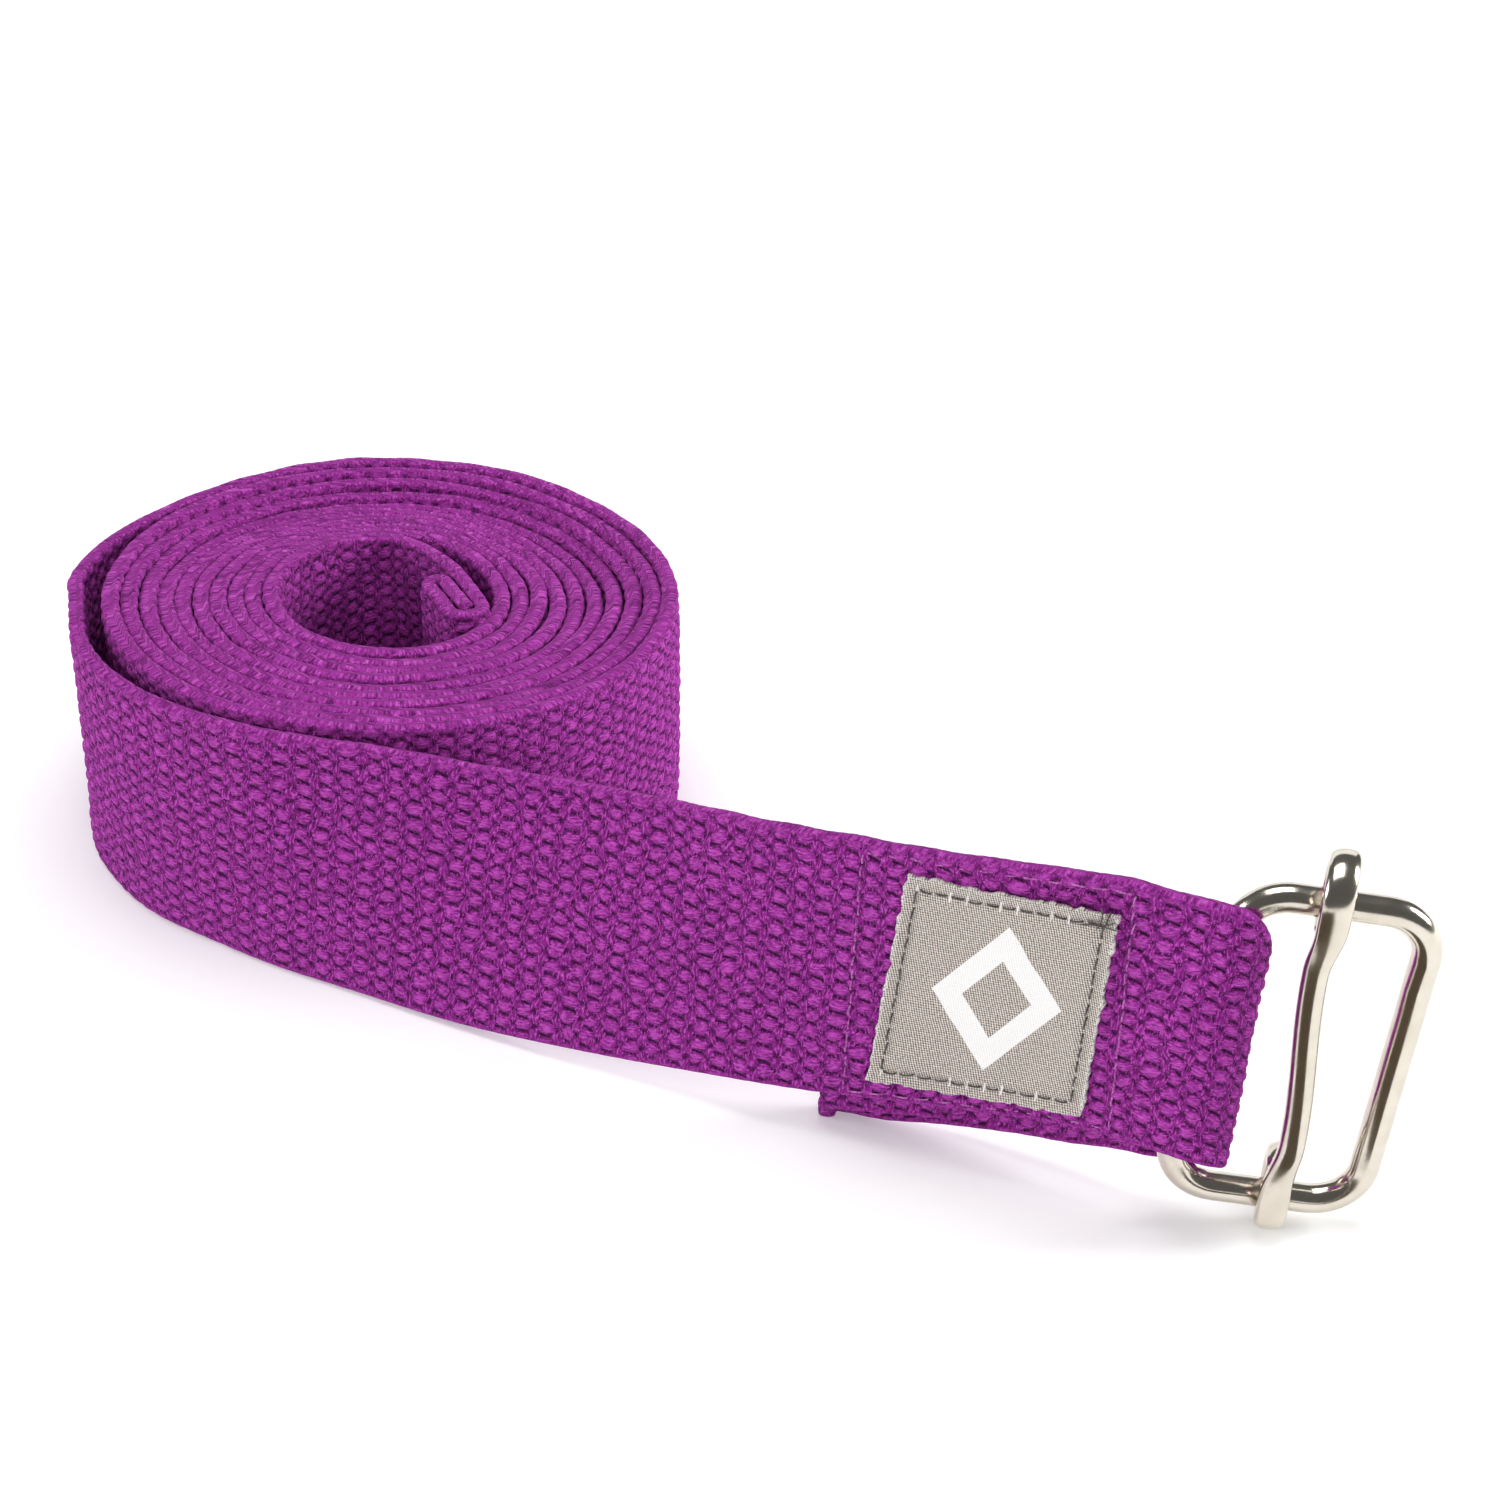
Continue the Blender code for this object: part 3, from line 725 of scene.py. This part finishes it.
eye_end = along_at(EYE_DEG + 350)
outer_from = along_at(-155)
coil_skin = piece(
    [
        (0.0, along_at(EYE_DEG), fine, "full", "full"),
        (along_at(EYE_DEG), eye_end, fine, "band", "full"),
        (eye_end, outer_from, coarse, "band", "band"),
        (outer_from, split_at, fine, "full", "band"),
    ],
    split_at,
)
run_skin = piece([(split_at, t[-1], fine, "full", "full")], t[-1])
cotton = webbing_material("webbing_cotton")
coil = add_mesh("strap_webbing_coil", coil_skin[0], coil_skin[1], cotton, coil_skin[2])
free_run = add_mesh("strap_webbing_run", run_skin[0], run_skin[1], cotton, run_skin[2])
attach(coil, "strap")
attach(free_run, "strap")
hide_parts("webbing_coil")
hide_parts("webbing_run")

# Buckle


def frame_axes():
    up = np.array([0, math.sin(BAR_LEAN), math.cos(BAR_LEAN)])
    across = np.array([math.cos(BAR_TILT), 0, 0]) - up * math.sin(BAR_TILT)
    along = np.array([math.sin(BAR_TILT), 0, 0]) + up * math.cos(BAR_TILT)
    return across, along, np.cross(across, along)


def frame_points():
    across, along, _ = frame_axes()
    found = []
    for right, top, start in ((1, 1, 0), (0, 1, 90), (0, 0, 180), (1, 0, 270)):
        x = FRAME_CORNER + (FRAME_LENGTH - 2 * FRAME_CORNER) * right
        y = FRAME_CORNER + (FRAME_HEIGHT - 2 * FRAME_CORNER) * top
        for step in range(13):
            angle = math.radians(start + 90 * step / 12)
            reach = (x + FRAME_CORNER * math.cos(angle), y + FRAME_CORNER * math.sin(angle))
            stretch = FRAME_FOOT_STRETCH + (1 - FRAME_FOOT_STRETCH) * reach[1] / FRAME_HEIGHT
            found.append(BAR_FOOT + across * reach[0] * stretch + along * reach[1])
    # Extra rings keep the straights even
    even = []
    for here, there in zip(found, found[1:] + found[:1]):
        count = max(1, int(np.linalg.norm(there - here) / 0.004))
        even += [here + (there - here) * share / count for share in range(count)]
    return even


def slide_rings():
    across, along, front = frame_axes()
    foot = BAR_FOOT + across * SLIDE_FOOT
    head = BAR_FOOT + across * SLIDE_HEAD + along * FRAME_HEIGHT
    length = float(np.linalg.norm(head - foot))
    rise = (head - foot) / length
    foot = foot + rise * SLIDE_LIFT
    wide = unit(np.cross(rise, front))
    turn = np.linspace(0, SLIDE_RING_SWEEP, 41)
    path = [(-SLIDE_RING * math.sin(a), SLIDE_RING * math.cos(a), 0.0) for a in turn[::-1]]
    for height in np.linspace(0.0006, length - 0.0006, 48):
        near = min(height, length - height)
        path.append((height, SLIDE_RING, float(ease((near - 0.0015) / (SLIDE_ROUND_FROM - 0.0015)))))
    path += [(length + SLIDE_RING * math.sin(a), SLIDE_RING * math.cos(a), 0.0) for a in turn]
    rings = []
    for index, (height, reach, rounded) in enumerate(path):
        before, after = path[max(index - 1, 0)], path[min(index + 1, len(path) - 1)]
        way = unit(rise * (after[0] - before[0]) + front * (after[1] - before[1]))
        thick = np.cross(way, wide)
        end = min(index, len(path) - 1 - index)
        shrink = (0.80, 0.94)[end] if end < 2 else 1.0
        half_wide = (SLIDE_STRIP_WIDTH + (SLIDE_ROD - SLIDE_STRIP_WIDTH) * rounded) / 2 * shrink
        half_deep = (SLIDE_STRIP_DEPTH + (SLIDE_ROD - SLIDE_STRIP_DEPTH) * rounded) / 2 * shrink
        power = 0.86 + 0.14 * rounded
        # The rod leaves its rings a little to one side
        bend = 0.0009 * ease((height - 0.0030) / 0.0075) * ease((length * 0.8 - height) / (length * 0.7))
        later = 0.0009 * ease((height - length * 0.3) / (length * 0.5))
        bend = bend - later * ease((length - 0.0025 - height) / 0.0060)
        # Both rings hang askew, their backs further out
        askew = (SLIDE_RING - reach) * SLIDE_ASKEW
        centre = foot + rise * height + front * reach + wide * (bend + askew)
        angles = 2 * math.pi * np.arange(32) / 32
        x = np.sign(np.cos(angles)) * np.abs(np.cos(angles)) ** power * half_wide
        y = np.sign(np.sin(angles)) * np.abs(np.sin(angles)) ** power * half_deep
        rings.append(centre + x[:, None] * wide + y[:, None] * thick)
    return rings


points, faces = stitched(tube(frame_points(), WIRE / 2, 32, closed=True), closed=True)
buckle = add_mesh("nickel_wire_frame", points, faces, nickel_material("nickel_frame"))
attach(buckle, "frame")
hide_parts("buckle_frame")
points, faces = stitched(slide_rings())
slide = add_mesh("nickel_slide_bar", points, faces, nickel_material("nickel_slide"))
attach(slide, "slide")
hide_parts("slide_bar")

# Label


def label_place(x, y, off):
    """A place on the label from its lower left corner, and how far it stands off the webbing."""
    x, y = np.asarray(x) / LABEL_SIZE[0], np.asarray(y) / LABEL_SIZE[1]
    share = ((1 - x) * (1 - y), x * (1 - y), x * y, (1 - x) * y)
    right = sum(part * corner[0] for part, corner in zip(share, LABEL_CORNERS))
    up = sum(part * corner[1] for part, corner in zip(share, LABEL_CORNERS))
    return run.at(LABEL_BACK - right, LABEL_UP + up, -np.asarray(off))


def label_skin():
    n = 96
    x, y = np.meshgrid(np.linspace(0, 1, n), np.linspace(0, 1, n), indexing="ij")
    wx, wy = LABEL_SIZE
    fray_x = 0.00022 * waves(y * wy, 0 * y, 21, 0.006, 0.0009)
    fray_y = 0.00018 * waves(x * wx, 0 * x, 22, 0.006, 0.0009)
    px = x * wx + fray_x * (2 * np.abs(x - 0.5)) ** 8
    py = y * wy + fray_y * (2 * np.abs(y - 0.5)) ** 8
    border = np.minimum(np.minimum(x, 1 - x) * wx, np.minimum(y, 1 - y) * wy)
    off = 0.00050 + 0.00010 * waves(px, py, 23, 0.012, 0.004)
    off = off - 0.00022 * np.exp(-(((border - 0.0018) / 0.0006) ** 2))
    off = off + 0.00010 * ease(1 - border / 0.0010)
    front = label_place(px, py, off + LABEL_THICK / 2).reshape(-1, 3)
    back = label_place(px, py, off - LABEL_THICK / 2).reshape(-1, 3)
    index = np.arange(n * n).reshape(n, n)
    quads = np.stack([index[:-1, :-1], index[1:, :-1], index[1:, 1:], index[:-1, 1:]], -1).reshape(-1, 4)
    faces = quads.tolist() + (quads[:, ::-1] + n * n).tolist()
    rim = np.concatenate([index[:-1, 0], index[-1, :-1], index[:0:-1, -1], index[0, :0:-1]])
    after = np.roll(rim, -1)
    faces += np.stack([rim, rim + n * n, after + n * n, after], -1).tolist()
    marks = np.stack([px.ravel(), py.ravel(), 0 * px.ravel(), 0 * px.ravel()], -1)
    return np.concatenate([front, back]), faces, np.concatenate([marks, marks])


points, faces, marks = label_skin()
tag = add_mesh("grey_label", points, faces, label_material("label_tape"), marks)
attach(tag, "strap")
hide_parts("label")


# Loose thread ends where the seam was finished, each as three places from the seam's corner
LOOSE_ENDS = (
    ((-0.0008, -0.0006), (0.0002, 0.0012), (-0.0004, 0.0030)),
    ((0.0, -0.0010), (0.0006, 0.0009), (0.0009, 0.0027)),
    ((-0.0032, -0.0004), (-0.0006, 0.0005), (0.0022, 0.0002)),
    ((-0.0022, 0.0006), (0.0001, -0.0002), (0.0018, 0.0014)),
)


def label_stitches():
    made = []
    inset, pitch = 0.0018, 0.00235
    wx, wy = LABEL_SIZE
    corners = [(inset, inset), (wx - inset, inset), (wx - inset, wy - inset), (inset, wy - inset)]
    for a, b in zip(corners, corners[1:] + corners[:1]):
        length = math.hypot(b[0] - a[0], b[1] - a[1])
        count = int(round(length / pitch))
        for k in range(count):
            wander = rng.normal(0, 0.00009, 4)
            share = [(k + 0.12) / count, (k + 0.86) / count]
            ends = [(a[0] + (b[0] - a[0]) * v, a[1] + (b[1] - a[1]) * v) for v in share]
            start = label_place(ends[0][0] + wander[0], ends[0][1] + wander[1], 0.00078)
            end = label_place(ends[1][0] + wander[2], ends[1][1] + wander[3], 0.00078)
            out = -run.frame(LABEL_BACK)[2]
            made.append(stitch(start, end, out, 0.00014))
    for ends in LOOSE_ENDS:
        bent = []
        for k, (x, y) in enumerate(ends):
            bent.append(np.array(label_place(wx - inset + x, wy - inset + y, 0.00095 + 0.0003 * k)))
        way = np.linspace(0, 1, 9)
        bent = [bent[0] * (1 - u) ** 2 + bent[1] * 2 * u * (1 - u) + bent[2] * u**2 for u in way]
        made.append(stitched(tube(bent, 0.00011, 8, tip=0.5)))
    return joined(made)


points, faces = label_stitches()
yarn = thread_material("label_yarn", linear(48, 43, 42), linear(104, 97, 94))
obj = add_mesh("label_stitches", points, faces, yarn)
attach(obj, "strap")
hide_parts("label_thread")


def seam_line(start, end, depth, out, pitch, radius, drop=0.0):
    """Stitches between two places on the webbing, each a distance from the fold and a height."""
    made = []
    length = math.hypot(end[0] - start[0], end[1] - start[1])
    count = int(round(length / pitch))
    for k in range(count):
        wander = rng.normal(0, 0.00010, 4)
        ends = []
        for share, shift in (((k + 0.1) / count, wander[:2]), ((k + 0.82) / count, wander[2:])):
            back = start[0] + (end[0] - start[0]) * share + shift[0]
            height = start[1] + (end[1] - start[1]) * share + shift[1] - drop
            ends.append(run.at(back, height, depth))
        made.append(stitch(ends[0], ends[1], out, radius))
    return made


def box_seam(depth, drop, out_sign):
    near, far = BOX_SEAM
    low, high = 0.0012, WIDTH - 0.0012
    out = out_sign * run.frame(0.03)[2]
    made = []
    for start, end in (((near, low), (near, high)), ((far, low), (far, high))):
        made += seam_line(start, end, depth, out, 0.0019, 0.00011, drop)
    # The seams along the edges have sunk deeper into the cloth
    for start, end in (((near, high), (far, high)), ((near, low), (far, low))):
        made += seam_line(start, end, depth - out_sign * 0.00026, out, 0.0031, 0.00011, drop)
    return joined(made)


mauve = thread_material("seam_yarn", linear(146, 50, 142), linear(206, 126, 198))
points, faces = box_seam(-0.00016, 0.0, -1)
obj = add_mesh("box_seam_front_stitches", points, faces, mauve)
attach(obj, "strap")
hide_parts("box_seam_front")
points, faces = box_seam(3 * LAYER + 0.0001, BACK_DROP_SEAM, 1)
obj = add_mesh("box_seam_back_stitches", points, faces, mauve)
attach(obj, "strap")
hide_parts("box_seam_back")


def hem_stitches():
    out = -np.array([HEM_HEADING[1], -HEM_HEADING[0], 0])
    foot = hem_place(HEM_LENGTH * 0.45, -0.00012) + COIL_CENTRE
    made = []
    for k in range(16):
        low = foot + np.array([0, 0, 0.0012 + k * 0.0022])
        made.append(stitch(low, low + np.array([0, 0, 0.0016]), out, 0.00013))
    return joined(made)


points, faces = hem_stitches()
obj = add_mesh("hem_stitches", points, faces, mauve)
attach(obj, "strap")
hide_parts("hem_thread")

# Floor, lights and camera

bpy.ops.mesh.primitive_plane_add(size=6, location=(0, 0, 0))
floor = bpy.context.object
floor.name = "floor"
g = Graph("floor_white")
where = g.nodes.new("ShaderNodeTexCoord").outputs["Object"]
floor.data.materials.append(
    g.set(
        Base_Color=g.mix(g.noise(where, 3.0), (0.92, 0.92, 0.92), (0.94, 0.94, 0.94)),
        Roughness=0.9,
        Specular_IOR_Level=0.0,
        Emission_Color=(1.0, 1.0, 1.0),
        Emission_Strength=0.17,
    )
)


def softbox(name, place, target, size, power, colour=(1, 1, 1)):
    data = bpy.data.lights.new(name, "AREA")
    data.shape = "RECTANGLE"
    data.size, data.size_y = size
    data.energy = power
    data.color = colour
    obj = bpy.data.objects.new(name, data)
    bpy.context.scene.collection.objects.link(obj)
    way = Vector(target) - Vector(place)
    obj.matrix_world = Matrix.Translation(place) @ way.to_track_quat("-Z", "Y").to_matrix().to_4x4()
    return obj


softbox("light_top", (0.0, 0.05, 0.95), (0, 0, 0), (0.6, 0.6), 4.9)
softbox("light_left", (-1.0, -0.05, 0.45), (0, 0, 0.02), (0.5, 0.4), 5.0)
softbox("light_right", (1.0, 0.10, 0.45), (0, 0, 0.02), (0.4, 0.5), 9.0)
softbox("light_front", (0.05, -1.25, 0.60), (0, 0, 0.02), (0.9, 0.5), 6.6)
bpy.data.objects["light_front"].visible_glossy = False
# A dark card in front, seen only in the metal, gives the wires their dark bands
bpy.ops.mesh.primitive_plane_add(size=1, location=(0.003, -0.205, 0.0006))
card = bpy.context.object
card.name = "black_card"
card.scale = (0.174, 0.235, 1)
g = Graph("card_black")
card.data.materials.append(g.set(Base_Color=linear(84, 74, 62), Roughness=1.0, Specular_IOR_Level=0.0))
card.visible_camera = card.visible_diffuse = card.visible_shadow = False
card.visible_transmission = card.visible_volume_scatter = False
softbox("light_back", (0.0, 1.5, 0.40), (0, 0, 0.02), (2.0, 0.7), 5.0)

world = bpy.data.worlds.new("studio")
bpy.context.scene.world = world
world.use_nodes = True
world.node_tree.nodes["Background"].inputs["Color"].default_value = (1, 1, 1, 1)
world.node_tree.nodes["Background"].inputs["Strength"].default_value = 0.12

pitch, roll = math.radians(31), math.radians(1.0)
forward = Vector((0, math.cos(pitch), -math.sin(pitch)))
level = Vector((0, math.sin(pitch), math.cos(pitch)))
right = Vector((1, 0, 0)) * math.cos(roll) + level * math.sin(roll)
upward = level * math.cos(roll) - Vector((1, 0, 0)) * math.sin(roll)
data = bpy.data.cameras.new("camera")
data.lens = 72
data.sensor_width = 36
data.clip_start = 0.01
camera = bpy.data.objects.new("camera", data)
bpy.context.scene.collection.objects.link(camera)
turned = Matrix((right, upward, -forward)).transposed().to_4x4()
camera.matrix_world = Matrix.Translation((0.009016, -0.374242, 0.253165)) @ turned
bpy.context.scene.camera = camera
bpy.context.scene.view_settings.view_transform = "Standard"
